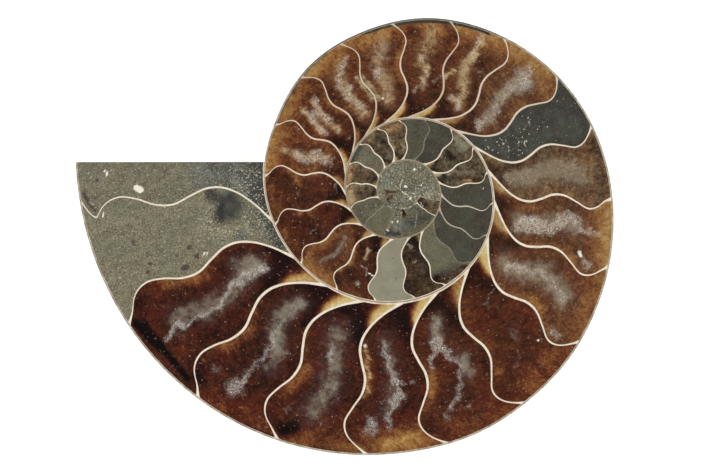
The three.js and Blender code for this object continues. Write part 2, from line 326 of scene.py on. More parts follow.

# %% [markdown]
# ## Strokes
# Clouds, crystal veins, embers and pits are single events that no formula gives, so each one is
# a stroke, laid as with a brush. A line of the list says what the stroke adds, how
# strongly, how wide in mm, and where: share of the way across the chamber, then share up.
# Haze is a cloud, and druse is a crust of white crystals, or a few pale flecks in mud. A mark is
# white, or dark below zero: dark specks of the stone, and pits whose shade inside is painted. The
# two dark marks of chamber -1 along the saw cut, at share across 0, are painted shade of the sawn
# edge. Chamber 50 is the coil's core, where the points are mm right of its centre and mm above it
# in the picture.

# %% Strokes
# In chamber -1 the two dark marks at share across 0 follow the saw cut: painted shade of its edge.
STROKES = """
chamber -1
mark 1 .5 .7,.69 .74,.67
mark .6 .2 .22,.855 .3,.84 .37,.85
mark -.7 .35 .7,.98 .8,.96 .92,.93
mark .7 .2 .76,.955 .83,.93
mark -.6 .35 .4,.9
mark .5 .22 .85,.8
mark .5 .2 .65,.56
mark .4 .2 .31,.66
mark .5 .2 .28,.93
tone -.2 3.4 .05,.22 .5,.2 .95,.24
grain .45 3 0,.04 .5,.08 1,.05
druse .7 2 .1,.04 .8,.05
tone -.2 3 0,.05 .9,.05
mark -.28 .13 0,.45 0,.97
mark -.5 .16 0,.02 0,.42
grain .2 3 .1,.22 .9,.2
tone -.75 2.2 0,.02 .9,.02
haze .6 3 .2,.3 .6,.33
haze .6 3 .05,.1 .9,.12
chamber 0
tone -.5 1.1 .08,.29 .22,.24 .48,.26
tone -.42 1.1 .1,.18 .3,.17 .46,.2
mark -.27 1.1 .12,.27 .2,.19 .46,.23
tone -.2 .9 .52,.29
tone -.15 1.6 .1,.12 .5,.12
haze .6 1.5 .12,.22 .45,.22
haze .8 .8 .94,.2
haze .5 2 0,.03 .5,.05
grain -.9 1.7 .14,.2 .36,.22 .5,.21
mark -1 .5 .88,.565 .88,.55
mark -.9 .46 .64,.49
mark -1 .42 .81,.47 .83,.46
mark -.8 .42 .53,.775
mark -.8 .42 .8,.73
mark -.8 .42 .9,.76
mark -.8 .34 .69,.57
mark .7 .18 .84,.45 .87,.43 .9,.405
mark .7 .3 .065,.896
tone -.2 1 .94,.2
grain .5 1.7 .05,.05 .9,.05
druse .5 1.2 .1,.04 .9,.04
grain .6 1.5 .6,.14 .8,.3 .4,.36
tone -.6 1.3 0,.03 .9,.03
chamber 1
glow -.8 .45 .06,.97 .3,.955 .6,.935 .88,.955
glow -.5 .5 .2,.93 .5,.925
glow .17 1.4 .07,.7 .07,.5
haze .85 1.9 .52,.76 .52,.45 .52,.2
haze .7 1.4 .26,.3 .34,.2
druse 1 .34 .585,.885 .565,.795 .63,.73 .565,.65 .54,.55 .52,.48 .51,.385 .565,.3 .565,.15
druse .75 .9 .6,.32 .6,.22
haze .5 1 .7,.62
druse .4 .9 .6,.8 .72,.8
chamber 2
druse 1 1 .54,.84 .6,.82
druse .75 .6 .25,.8
druse .75 .42 .61,.78 .555,.71 .53,.65 .49,.5 .48,.42 .54,.34
haze .8 1.7 .7,.62 .66,.5
haze .95 2 .48,.42 .46,.3 .54,.18
druse .55 .7 .56,.24 .57,.16
glow .17 1.4 .07,.66 .07,.5
chamber 3
haze .85 2.6 .6,.78 .52,.6 .5,.42 .5,.24
druse .5 .7 .72,.835
druse .6 .6 .28,.8
druse .8 .4 .47,.42 .5,.33
druse .45 1.3 .66,.64
glow -.6 1.1 .18,.93 .34,.9
glow .22 1.5 .12,.66 .14,.52
chamber 4
glow .17 1.8 .45,.93 .8,.92
druse .95 .9 .34,.84 .36,.8
druse .75 .45 .585,.84 .56,.76 .57,.66
druse 1 .65 .55,.66 .6,.63
druse .95 .4 .56,.62 .49,.53 .46,.47 .47,.385 .435,.28
druse .7 .3 .49,.53 .65,.54 .8,.55
haze .7 1.6 .5,.72 .5,.4 .42,.25
milk .7 .5 .05,.6 .06,.45 .09,.31
glow .2 .6 .05,.6 .06,.45 .09,.31
mark .5 .45 .065,.285
chamber 5
druse .65 .7 .33,.83
druse .65 .5 .64,.82
druse .75 .42 .43,.78 .51,.7 .48,.63 .54,.53 .46,.43 .41,.35
druse 1 .7 .41,.34
druse .95 .35 .09,.47 .2,.41 .38,.35
druse .8 .4 .54,.39
haze .9 1.4 .65,.6 .62,.5
haze .9 1.5 .42,.28 .46,.17
druse .6 .6 .42,.28 .47,.18
glow .22 1.2 .08,.66 .08,.52
chamber 6
haze .8 .7 .5,.61 .5,.53
druse .25 .4 .5,.6 .5,.54
haze .6 .6 .37,.77 .5,.73
druse .4 .3 .37,.77 .5,.73
mark .6 .15 .83,.735 .92,.755
druse .6 .25 .62,.27 .7,.25 .9,.24
haze .5 .4 .78,.38
glow .17 1 .13,.72
chamber 7
druse .75 .7 .11,.84 .11,.8
haze 1.15 2.3 .56,.74 .57,.5 .45,.35 .4,.2
druse .75 .5 .52,.76 .54,.71 .48,.61 .5,.55 .565,.5 .52,.42 .565,.32 .48,.24
glow .25 .9 .08,.62 .08,.52
druse .3 1.3 .45,.3 .42,.22
chamber 8
druse .85 .65 .13,.84 .17,.81
mark .7 .3 .22,.77 .26,.75
druse .8 .6 .61,.87 .65,.79 .59,.745
druse 1.1 .8 .7,.69 .61,.6 .39,.53 .33,.47 .43,.385 .48,.3 .35,.22
druse .7 1 .48,.34 .46,.28
haze .9 2.1 .6,.66 .45,.4 .42,.22
glow .25 1.3 .85,.34 .82,.2
glow .22 .8 .05,.71
chamber 9
haze 1 2.3 .55,.8 .5,.5 .52,.22
druse .5 .8 .68,.75 .72,.71
druse .45 1.3 .58,.36 .66,.28
druse .5 .5 .35,.14 .48,.13
glow .19 .7 .1,.66
glow -.4 .9 .86,.56 .84,.48
glow -.35 .8 .1,.93 .6,.96 .9,.96
chamber 10
haze .35 5 .5,.9 .5,.1
mark -1 .4 .34,.7 .32,.675
druse .8 1 .3,.38 .44,.37
mark .5 .2 .36,.4
druse .7 1.2 .3,.22 .5,.11 .26,.09
druse .6 .9 .6,.53 .84,.56
druse .5 1.2 .3,.95 .7,.9
druse .5 1.3 .7,.26 .86,.18
druse .45 2.2 .1,.3 .1,.6
mark .35 .16 .6,.53 .72,.545 .83,.565
mark .6 .2 .67,.23
mark .5 .18 .4,.1 .54,.1
mark .4 .15 .47,.355
mark .3 .15 .6,.89
mark .4 .15 .2,.39
chamber 11
haze 1 1.5 .52,.78 .5,.6 .46,.4 .45,.22
haze .8 1.5 .42,.72 .64,.8
druse .4 1.2 .42,.76 .66,.84
druse .65 .8 .55,.78 .5,.6 .48,.45 .42,.3 .48,.2
druse .95 .4 .5,.17
druse .7 .25 .2,.14 .48,.17
druse .5 .25 .54,.94 .58,.83
druse .5 .35 .8,.795
chamber 12
druse .95 .3 .5,.94 .61,.86 .64,.76 .52,.68
haze .7 .8 .52,.67 .56,.6
milk .9 .45 .7,.55 .8,.5 .98,.44
milk .8 .9 .44,.97 .56,.88 .62,.76 .55,.64 .5,.52 .42,.36
milk .5 .8 .3,.22 .5,.27 .68,.27
druse .5 .3 .72,.54 .89,.47
haze .7 1.1 .5,.56 .5,.45
druse .75 .6 .3,.2 .5,.26 .68,.25
glow -.3 .9 .13,.45 .14,.32
druse .6 .25 .05,.6 .2,.605
glow .17 1.3 .12,.9
mud 1.3 .3 .3,.99 .5,.995 .75,.995 1,.99
tone -.3 .8 .3,.99 .6,.99 1,.985
chamber 13
haze .4 1.7 .5,.82 .5,.7
milk .5 1.5 .45,.9 .5,.72 .52,.58
milk .6 .6 .36,.5 .5,.4 .56,.32
druse 1 .4 .52,.62 .53,.58
druse .7 .3 .3,.485 .43,.42 .565,.35 .83,.27
haze .95 .6 .48,.4 .5,.34
druse .7 .25 .02,.44 .24,.38
glow -.25 1 .17,.25
glow -.3 1 .83,.89
glow .11 1 .3,.88
mud 1.4 .36 0,.99 .25,.99 .5,.99 .75,.99 1,.99
tone -.3 .8 0,.985 .5,.99 1,.985
chamber 14
haze .9 1.5 .43,.8 .61,.63 .48,.385 .6,.22
druse .95 .55 .56,.55 .62,.5
mark .4 .18 .76,.745
mark .5 .26 .78,.255
druse .6 .25 .28,.64 .52,.69 .65,.84
glow .17 .9 .05,.66
glow .17 1.3 .3,.89
milk 1 .36 .97,.56 .94,.4 .93,.27
milk .45 1.4 .44,.86 .58,.66 .5,.42 .6,.22
olive .4 .6 .95,.56 .92,.27
mud 1.3 .3 0,.99 .2,.995 .4,.995 .55,1
tone -.3 .8 0,.985 .3,.99 .55,.99
chamber 15
milk 1 .36 .06,.58 .05,.42 .04,.28
milk .5 1.3 .4,.82 .58,.66 .54,.42 .52,.2
olive .4 .6 .06,.58 .04,.28
druse .9 .45 .26,.83 .43,.78 .565,.71 .61,.61 .54,.52 .61,.45 .52,.32 .43,.22
druse .8 .45 .33,.54 .36,.52
haze .8 1.1 .5,.7 .5,.45 .47,.2
haze .6 .6 .78,.78
mud 1 .16 .3,1 .5,1 .75,1 1,1
tone -.22 .6 .3,1 1,.995
chamber 16
druse .7 .5 .34,.74 .39,.6 .43,.42 .54,.27
druse .6 .2 .26,.7 .4,.58
druse .6 .2 .3,.52 .43,.45
druse .75 .5 .7,.76 .65,.6 .74,.47 .8,.4
druse .6 .2 .5,.66 .66,.62
milk .6 .7 .39,.72 .42,.5 .54,.27
milk .6 .6 .7,.78 .66,.6 .76,.45
haze .8 .8 .54,.58 .55,.4
druse .6 .3 .78,.43
druse .45 .3 .25,.13 .42,.13
glow -.25 1 .75,.2
mud 1.1 .18 0,1 .25,1 .5,1 .8,1
tone -.22 .6 0,.99 .8,.99
chamber 17
druse 1 .65 .55,.62 .61,.52 .5,.375 .58,.27
druse .6 .25 .33,.46 .33,.38
druse .6 .5 .64,.78
druse .6 .35 .08,.73
druse .55 .14 0,.175 .5,.19 1,.2
milk .5 .8 .64,.82 .58,.6 .5,.3
glow .2 .5 .9,.56 .9,.4
chamber 18
glow .19 .45 .1,.62 .3,.56
druse .5 .22 .1,.12 .45,.1
haze .5 .5 .12,.3
chamber 19
druse .55 .3 .68,.64 .6,.55
druse .4 .25 .5,.44
glow .22 .4 .06,.64
chamber 20
haze 1 .55 .52,.8 .55,.55 .5,.28
glow .19 .7 .17,.6
druse .5 .14 .55,.29 .83,.46
chamber 21
druse .8 .28 .72,.81 .66,.78
druse .9 .15 .44,.52 .7,.56 .75,.645
mark .7 .1 .75,.59 1,.625
milk 1 .3 .53,.4 .54,.24
druse .6 .22 .53,.38 .53,.25
chamber 22
tone -.1 2 .4,0 .6,.15
mark -.3 .3 .72,.66 .7,.62
mark -.45 .2 .67,.3
mark -.4 .14 .55,.95 .7,.93
chamber 23
glow .22 .4 .15,.64 .18,.56
druse .7 .22 .45,.42 .6,.4
haze .6 .5 .75,.65 .72,.5
druse .8 .28 .28,.12 .48,.17
chamber 24
mud -.9 .9 0,.98 .12,.84 .38,.92 .62,.96 .8,.98
tone -.25 1.2 0,.8 .3,.82 .7,.92
olive 1 1.4 0,.95 .5,.97 1,.95
glow .17 1.1 0,.97 .5,.98 1,.97
druse .4 .8 .3,.86 .8,.93
mark -.55 .18 .23,.52
mark -.3 .25 .78,.34
chamber 27
mark .5 .12 .76,.85 .8,.8
chamber 28
glow .45 .35 .12,.62 .14,.5
milk -.4 .5 .1,.8 .12,.55
haze .8 .45 .42,.74 .55,.6
haze .8 .4 .65,.48 .8,.4
druse .5 .2 .62,.5 .7,.46
milk .5 .4 .9,.25 .88,.55
glow -.3 .5 .22,.22 .45,.16
glow -.25 .4 .12,.85
chamber 29
mud 1 .9 .3,.95 .55,.78 .75,.92
tone .35 1.2 .3,.9 .8,.9
druse .5 .2 .7,.3
glow -.25 .6 .35,.5 .7,.55
milk -.3 .5 .4,.5 .7,.55
chamber 30
druse .8 .5 .15,.6 .22,.4
mark .3 .08 .22,.5
mark .3 .08 .15,.42
mark .3 .08 .3,.36
mark .25 .08 .1,.3
chamber 31
mark .3 .08 .72,.55
chamber 32
milk .5 .4 .2,.3 .4,.38
druse .5 .3 .3,.34
milk .5 .3 .92,.3 .92,.6
glow -.3 .3 .12,.55 .15,.75
milk .3 .6 .3,.85 .8,.85
olive -.5 .8 .3,.85 .8,.85
chamber 33
glow .4 .3 .78,.86
glow -.25 .5 .25,.45 .35,.7
haze .8 .4 .22,.1 .3,.3
chamber 34
tone -.3 .5 0,.97 .5,.95 1,.95
haze .3 .5 .3,.6 .7,.6
olive 1 1 .5,.9
chamber 35
glow .17 .4 .55,.88
milk .5 .5 .2,.92 .8,.9
olive -.6 .6 .2,.92 .8,.9
glow .19 .3 .2,.52
druse .5 .15 .57,.15
glow -.3 .4 .55,.3 .3,.2
milk .4 .25 .07,.45 .07,.8
chamber 36
milk .5 .6 .2,.92 .8,.9
olive -.6 .7 .2,.92 .8,.9
glow .17 .5 .55,.78
druse .5 .2 .65,.63
glow -.25 .4 .45,.3 .6,.5
milk .5 .3 .07,.4 .07,.8
chamber 37
mark .4 .1 .32,.52
mark .3 .1 .6,.2 .85,.27
chamber 38
mark .3 .12 .55,.36
chamber 39
tone -.4 .5 .1,.85 .9,.85
mark .45 .18 .15,.75
mark .45 .18 .3,.42
mark .45 .18 .75,.38
mark .5 .13 .45,.26
chamber 40
mark -1 .26 .22,.17
mark .4 .08 .75,.78 1,.53
chamber 41
mark .45 .08 0,.53 .43,.27
chamber 42
mark .5 .15 .15,.32
glow .1 .7 .4,.7
milk .5 .25 .92,.35 .92,.7
mark .4 .2 .2,.2 .5,.15
chamber 43
mark .5 .12 .33,.6
mark .6 .1 .15,.2
mark .5 .1 .31,.8
glow .17 .5 .9,.3
chamber 50
mark .33 .17 .08,2.07 -.33,1.26 -.33,.33 .2,-.37 1,-.7
mark .3 .17 3.2,.56 3.28,-.37 3.1,-1.3 2.5,-2.35 1.36,-3.16 0,-3.28 -1.4,-3.05
mark .6 .26 .5,.82 .75,.85
mark .55 .2 1.42,-1.48
mark .5 .16 2.4,-1.05
mark .4 .15 1.75,-.5 2.2,-.5
mark .35 .15 1.2,-1 1.8,-1.2
mark .4 .16 2.5,.56
mark .5 .14 3.57,1.08
mark .7 .2 2.2,3.95 2.3,4.1
mark .4 .14 3.2,4.35
mark .3 .2 4.85,3.4
mark .3 .22 4.4,-.43
mark .4 .2 5.4,-.5
mark .4 .2 6.2,-.84
mark .35 .2 -.85,-5.6
mark .3 .2 -1.9,-5.7
mark .25 .3 -2.8,-7.2
mark .2 .2 .2,-2.8
mark .2 .2 -.6,-2 -.2,-1.4
mark -.45 .28 -3.3,.2 -2.1,-.1 -1.2,-.02 -.5,.1
mark -.5 .3 -2.6,-1.9 -2.3,-2.3
mark -.45 .2 1.42,-2.6
mud -1.1 .42 .1,-3.7 .35,-4.4
glow -.25 .6 .1,-3.7 .35,-4.4
olive 1 .9 .1,-3.7 .35,-4.4
mark -.6 .24 .3,-4.9
mark -.5 .26 3.2,-1.9 3.6,-1.7
mark -.4 .22 3.6,-.5 3.9,-.9
mark -.35 .16 -1.9,1.85
mark -.35 .16 -1.7,.9
mark -.3 .2 2.1,.7
mark -.3 .14 1,.95
mud -.62 .4 -3.2,.1 -2.2,-.2 -1.3,-.2
mud -.66 .45 -1.9,-1.1 -2.6,-1.6
mud -.6 .35 -2.9,-.7
mud -.6 .45 -1,-2.8
mud -.5 .5 2,-2.3
mud -.5 .7 3.4,-1.5
glow .15 .9 -2.2,-1
glow .2 .7 -1,-2.8
milk .3 1 -2.1,-1.1
olive .45 1.4 -2.1,-1.1 -1,-2.8
milk .2 .6 -1,-2.8
haze .35 1.6 -2.4,3 -.6,4.2
haze .4 .9 -3.1,1.4
haze .4 1.3 5.4,1
haze .7 .6 -1,-6.9 1.2,-6.4
tone -.14 1.2 1.5,-6.2 4.5,-4.5
tone -.1 1 .5,0 2,.5
grain .5 3 -1,0 1.5,-1
grain .2 1.4 -2,3.4 0,3.8
grain .6 1.2 5,-.5 6.4,-.8
"""


strokes_in = {}  # chamber: (what, strength, width, points) of each stroke
for line in STROKES.strip().splitlines():
    what, *numbers = line.split()
    if what == "chamber":
        in_chamber = strokes_in.setdefault(int(numbers[0]), [])
    else:
        strength, width, *places = numbers
        spots = np.array([[float(v) for v in place.split(",")] for place in places])
        in_chamber.append((what, float(strength), float(width), spots))
print(sum(len(strokes) for strokes in strokes_in.values()), "strokes")

# %% [markdown]
# ## From amounts to a smooth picture
# A stroke fades with the distance from its line, like a soft brush. Weight painting by hand would
# look the same, but couldn't be read or changed afterwards. The calcite's own glow is built the
# same way in each chamber, because it always grew from the walls: an ember beside the nearer
# wall, fibres under the roof, and a yellow corner where the far wall meets the floor.

# %% Soft edges and distances
def fade(x, start, end):
    """0 before start, 1 after end, smooth in between."""
    t = np.clip((x - start) / (end - start), 0, 1)
    return t * t * (3 - 2 * t)


def window(x, rise_start, rise_end, fall_start, fall_end):
    """0 outside, 1 in the middle, smooth on the way up and down."""
    return fade(x, rise_start, rise_end) * (1 - fade(x, fall_start, fall_end))


def distance_to_line(x, y, line_x, line_y):
    """Shortest distance from each point to a line of several points, all in mm."""
    nearest = np.hypot(x - line_x[0], y - line_y[0])
    for ax, ay, bx, by in zip(line_x, line_y, line_x[1:], line_y[1:]):
        length = max((bx - ax) ** 2 + (by - ay) ** 2, 1e-9)
        t = np.clip(((x - ax) * (bx - ax) + (y - ay) * (by - ay)) / length, 0, 1)
        nearest = np.minimum(nearest, np.hypot(x - ax - t * (bx - ax), y - ay - t * (by - ay)))
    return nearest


def bell(x, middle, width):
    """1 at the middle, falling to both sides like a bell."""
    return np.exp(-(((x - middle) / width) ** 2))


print("halfway up a fade:", fade(0.5, 0, 1), "one width off a bell:", round(float(bell(1, 0, 1)), 2))


# %% Places in a chamber
def chamber_place(chamber, across, up):
    """Degrees back and radius of a place in a chamber."""
    up = np.asarray(up, float)
    guess = wall_line(chamber, up)
    after = wall_line(chamber + 1, up)
    start = guess + np.degrees(half_wall(chamber, up) / chamber_radius(guess, up))
    end = after - np.degrees(half_wall(chamber + 1, up) / chamber_radius(after, up))
    back = start + (end - start) * across
    return back, chamber_radius(back, up)


def ruffle(x, y):
    """Shifts places a little, so that the strokes get the uneven outlines of grown crystals."""
    bend_x = 0.35 * np.sin(1.7 * y + 1.3 * np.sin(0.9 * x)) + 0.16 * np.sin(4.1 * y + 2.3 * x)
    bend_y = 0.35 * np.sin(1.9 * x + 1.1 * np.sin(1.1 * y)) + 0.16 * np.sin(3.7 * x - 2.9 * y)
    return x + bend_x, y + bend_y


half_way = np.array([0.5])
print("degrees back and radius in the middle of chamber 1:", chamber_place(1, half_way, half_way))

# %% How calcite grew from the walls
CORNER_START = 0.2  # share across where the yellow corner starts
CORNER_HEIGHT = 0.19  # share up that it reaches at the far wall
EMBER_WIDTH = 0.13  # share across
EMBER_UP = (0.2, 0.42, 0.68, 0.85)  # shares up where a glow or cloud starts, is full, fades, ends
CLOUD_UP = (0.06, 0.2, 0.74, 0.88)
CLOUD_WIDTH = 0.2  # share across
ROOF_UP = (0.72, 0.98)


def calcite_filling(amounts, across, up):
    """Glow, cloud and milk of calcite that grew in from the walls."""
    body, side, roof, corner, cloud, milk, olive = amounts
    corner_across = np.clip((across - CORNER_START) / (1 - CORNER_START), 0, 1)
    corner_edge = CORNER_HEIGHT * corner_across ** 1.7
    in_corner = fade(corner_edge - up, -0.01, 0.07)
    glow = np.full_like(up, body)
    glow += 0.5 * side * bell(across, 0, EMBER_WIDTH) * window(up, *EMBER_UP)
    glow += 0.7 * roof * fade(up, *ROOF_UP)
    glow -= 0.22 * bell(up - corner_edge, 0.05, 0.06)  # a dark line above the corner
    glow -= 0.2 * bell(across, 0.08, 0.12) * bell(up, 0.9, 0.06)  # and a dark spot under the roof
    glow += corner * in_corner * (0.35 + 0.45 * across)
    spine = 0.52 + 0.05 * np.sin(7 * (up - 0.2))  # the cloud follows the bent walls
    haze = cloud * bell(across, spine, CLOUD_WIDTH) * window(up, *CLOUD_UP)
    milk = milk * (1 - 0.6 * bell(up - corner_edge, 0.05, 0.08))
    olive = olive + 0.7 * in_corner * max(0, 1 - corner)  # the weaker corners are a greener yellow
    return {"glow": glow, "haze": haze, "milk": milk, "olive": olive}


grown = calcite_filling(CALCITE[1], half_way, half_way)
print("glow in the middle of chamber 1 before any stroke:", round(float(grown["glow"][0]), 2))

# %% Filling one chamber
BRUSH = {"druse": 1.7, "haze": 1.3, "milk": 1.1}  # loose growth spreads wider than the strokes say
AMOUNTS = ("glow", "haze", "druse", "mud", "tone", "grain", "mark", "milk", "olive")
CORE = 50  # its number in the list of strokes
FIRST_IN_CORE = 37  # chambers from here in also take the core's strokes


def filling(chamber, across, up, x, y):
    """All amounts at each point of one chamber."""
    values = {name: np.zeros_like(up) for name in AMOUNTS}
    if chamber in MUD:
        tone, grain = MUD[chamber]
        values["mud"] += 1
        values["tone"] += tone
        values["grain"] += grain
    else:
        values["tone"] += 0.3
        values["grain"] += 0.5
        values.update(calcite_filling(CALCITE[chamber], across, up))
    strokes = [(stroke, False) for stroke in strokes_in.get(chamber, [])] if chamber != CORE else []
    if chamber >= FIRST_IN_CORE:
        strokes += [(stroke, True) for stroke in strokes_in[CORE]]
    for (what, strength, width, spots), in_mm in strokes:
        line = spots.T if in_mm else on_face(*chamber_place(chamber, spots[:, 0], spots[:, 1]))
        size = float(np.exp(-GROWTH * np.radians(WALLS[min(max(chamber, 0), len(WALLS) - 1)])))
        near = ruffle(x / size, y / size) if what in BRUSH else (x / size, y / size)
        away = size * distance_to_line(*near, line[0] / size, line[1] / size)
        width *= BRUSH.get(what, 1.0)
        values[what] = values[what] + strength * np.exp(-((away / width) ** 2))
    return values


sample = filling(1, half_way, half_way, *on_face(*chamber_place(1, half_way, half_way)))
print("middle of chamber 1:", {name: round(float(sample[name][0]), 2) for name in AMOUNTS})

# %% [markdown]
# ## The polished face
# Polishing brings walls, calcite and mud to one plane, and only a few pits in the mud stay below
# it, so the chambers are flat grids and not blocks set side by side. Each grid is as fine as its
# filling needs: about a third of a millimetre where there are crystals, coarser in plain mud.

# %% Sizes of the grids
CALCITE_STEP = 0.36  # mm between points
MUD_STEP = 0.42
FIRST_FINE_MUD = 30  # mud chambers from here in are small enough for the finer grid
FIRST_INNER = 18  # chambers from here in lie in the inner whorls
INNER_SHRINK = 0.55  # which are smaller, and need closer points
END_CROWDING = 0.1  # how much closer the rows stand near the floor and the roof
PIT_DEPTH = 0.06  # mm
FIBRE_TURN = 2.0  # mm over which the fibres turn from the sides to the roof
PALE_WALLS = {  # 1 is cream: walls in mud that hardly show, and thin brownish ones
    10: 0.8, 11: 0.65, 12: 0.62, 13: 0.5, 14: 0.58, 15: 0.5, 16: 0.55, 17: 0.65, 18: 0.75, 19: 0.75,
    20: 0.8, 21: 0.85, 23: 0.75, 25: 0.25, 26: 0.45, 27: 0.6, 28: 0.85, 30: 0.8, 31: 0.25, 32: 0.7,
    33: 0.85, 34: 0.85, 35: 0.8, 37: 0.75, 38: 0.3, 39: 0.2, 40: 0.25, 41: 0.0, 43: 0.35,
}
print("points stand", round(CALCITE_STEP * INNER_SHRINK, 2), "to", MUD_STEP, "mm apart")

# %% One chamber's grid
grids = {}
roof_line = []  # (degrees back, point number) of the outer end of each column
floor_line = []


def chamber_grid(chamber):
    """A chamber's points: rows go up from the floor, columns go back from the mouth."""
    step = MUD_STEP if chamber in MUD and chamber < FIRST_FINE_MUD else CALCITE_STEP
    step *= 1 if chamber < FIRST_INNER else INNER_SHRINK
    middle, radius = chamber_place(chamber, np.array([0.0, 0.5, 1.0]), np.array([0.5, 0.5, 0.5]))
    floor, roof = chamber_radius(middle[1], 0.0), chamber_radius(middle[1], 1.0)
    length = np.radians(middle[2] - middle[0]) * radius[1]
    rows = max(8, round(float(roof - floor) / step))
    columns = max(5, round(float(length) / step))
    up = np.linspace(0, 1, rows + 1)
    up = up - END_CROWDING * np.sin(2 * np.pi * up) / (2 * np.pi)
    across = np.linspace(0, 1, columns + 1)
    across, up = np.meshgrid(across, up)
    back, radius = chamber_place(chamber, across, up)
    x, y = on_face(back, radius)
    width = np.radians(back[:, -1:] - back[:, :1]) * radius
    height = chamber_radius(back, 1.0) - chamber_radius(back, 0.0)
    side_gap = np.minimum(across, 1 - across) * width
    end_gap = np.minimum(up, 1 - up) * height
    values = filling(chamber, across, up, x, y)
    depth = -PIT_DEPTH * np.clip(-values["mark"], 0, 1) * values["mud"].clip(0, 1)
    border = (across > 0) & (across < 1) & (up > 0) & (up < 1)
    near_pale, far_pale = PALE_WALLS.get(chamber, 1.0), PALE_WALLS.get(chamber + 1, 1.0)
    numbers = add_points(
        x, y, depth * border, across=across, up=up, along_mm=across * width, up_mm=up * height,
        cell=float(chamber), roofward=fade(side_gap - end_gap, -FIBRE_TURN, FIBRE_TURN),
        pale=near_pale + (far_pale - near_pale) * across, **values)
    roof_line.extend(zip(back[-1], numbers[-1]))
    floor_line.extend(zip(back[0], numbers[0]))
    return numbers, up[:, 0]


print(len(PALE_WALLS), "walls are paler than cream")

# %% All chambers, and the walls between them
for chamber in range(-1, len(WALLS)):
    grids[chamber] = chamber_grid(chamber)
    grid_faces(grids[chamber][0], FILLING)
for chamber in range(len(WALLS)):
    (before, before_up), (after, after_up) = grids[chamber - 1], grids[chamber]
    zip_faces(after[:, 0], after_up, before[:, -1], before_up, WALL)
print(sum(len(block) for block in points), "points in", len(grids), "chambers")

# %% [markdown]
# ## Shell between the whorls, and the free edge
# Each whorl sits on the shell of the one inside it. A tube laid over the face would stand proud
# of it, so one long flat strip joins the floors of the outer whorls to the roofs of the inner
# ones. The last whorl's roof ends in its own thin outer shell, with a fine rounding that the
# polishing leaves at the edge.

# %% Whorl walls and the outer shell
roof_back, roof_points = (np.array(column) for column in zip(*roof_line))
floor_back, floor_points = (np.array(column) for column in zip(*floor_line))
roof_points = roof_points.astype(int)
floor_points = floor_points.astype(int)
free = int(np.searchsorted(roof_back, FREE_END)) + 1
joined = floor_back <= INNER_END - 360
last_joined = int(joined.sum())
zip_faces(floor_points[:last_joined + 1], floor_back[:last_joined + 1] + 360,
          roof_points[free - 1:], roof_back[free - 1:], SHELL)

EDGE_ROUNDING = 0.1  # mm
ROUNDING_STEPS = [(1.0, 0.0), (0.3, 0.3), (0.0, 1.0)]  # shares of it inward and down
BEYOND_ROOF = 2.0  # a share up past 1 tells the shell's finish that this is the outer shell
DARK_SHELL = (234, 242, 300, 322)  # degrees back where dark shell starts, is full, fades and ends
rim_back = roof_back[:free]
rim_pale = 1 - 0.9 * window(rim_back, *DARK_SHELL)
rim_rings = [roof_points[:free]]
for inward, down in ROUNDING_STEPS:
    x, y = on_face(rim_back, edge(rim_back) - inward * EDGE_ROUNDING)
    rim_rings.append(add_points(x, y, -down * EDGE_ROUNDING, up=BEYOND_ROOF, pale=rim_pale))
grid_faces(np.array(rim_rings), SHELL)
add_faces([[int(rim_rings[0][-1]), int(rim_rings[1][-1]), int(floor_points[0])]], SHELL)
print("free edge:", free, "points, inner strip:", len(roof_points) - free, "points")

# %% [markdown]
# ## The core
# The first whorls are too small to tell apart, and the stone there is mud with small arcs and
# specks. So the last chamber's inner end is closed with rings that shrink to the centre, and the
# strokes of number 50 draw what can still be seen.

# %% Rings to the centre
CORE_RINGS = 22
centre_loop = floor_points[last_joined:].tolist()
centre_loop += grids[len(WALLS) - 1][0][1:, -1].tolist()
loop_xy = np.concatenate(points)[centre_loop, :2]
ring = centre_loop
for size in np.arange(CORE_RINGS - 1, 0, -1) / CORE_RINGS:
    x, y = (size * loop_xy).T
    values = filling(CORE, np.full_like(x, 0.5), np.full_like(x, 0.5), x, y)
    inner_ring = add_points(x, y, 0.0, roofward=0.5, cell=float(CORE), **values)
    grid_faces(np.array([[*inner_ring, inner_ring[0]], [*ring, ring[0]]]), FILLING)
    ring = inner_ring.tolist()
centre = np.zeros(1)
values = filling(CORE, centre, centre, centre, centre)
core = int(add_points(centre, centre, 0.0, cell=float(CORE), **values)[0])
add_faces([[core, a, b] for a, b in zip(ring, ring[1:] + ring[:1])], FILLING)
print("core:", CORE_RINGS, "rings of", len(ring), "points")

# %% [markdown]
# ## The back
# The rounded back is the shell as it was found. It could be sculpted, but the CAD solid already
# has its section as a formula, and we keep that: full at the crest near the seam, falling to the
# sharp outer edge, with low sickle ribs, and stepping down whorl by whorl into a hollow.

# %% Sizes of the back
SEAM_RADIUS = 9.65  # mm, at the mouth
HALF_THICKNESS = 12  # mm
LEVEL_TURNS = 0.5  # turns from the mouth that rest on the ground, before the coil rises from it
CREST = 0.22  # share of the whorl where it is thickest
RIBS_PER_TURN = 20
RIB_HEIGHT = 0.35  # mm
RIB_SWEEP = 0.022  # turns that the ribs bend forward
RIBS_RISE = (0.35, 0.65)  # shares of the whorl where the ribs start and are full
RIBS_END = (0.9, 1)  # where they fade to the edge
FLANK_ROUNDNESS = 0.62
SHOULDER_ROUNDNESS = (2.4, 0.8)  # of its curve across, and of its fall
print(RIBS_PER_TURN, "ribs a turn,", RIB_HEIGHT, "mm high")


# %% Turns, rim and seam
def turn_of(back, radius):
    """Turns from the saw cut, 0 at the mouth and -1 one whorl further in."""
    lead = np.arcsin(SAW_HEIGHT / np.maximum(radius, SEAM_RADIUS))
    return -(np.radians(back) + lead) / (2 * np.pi)


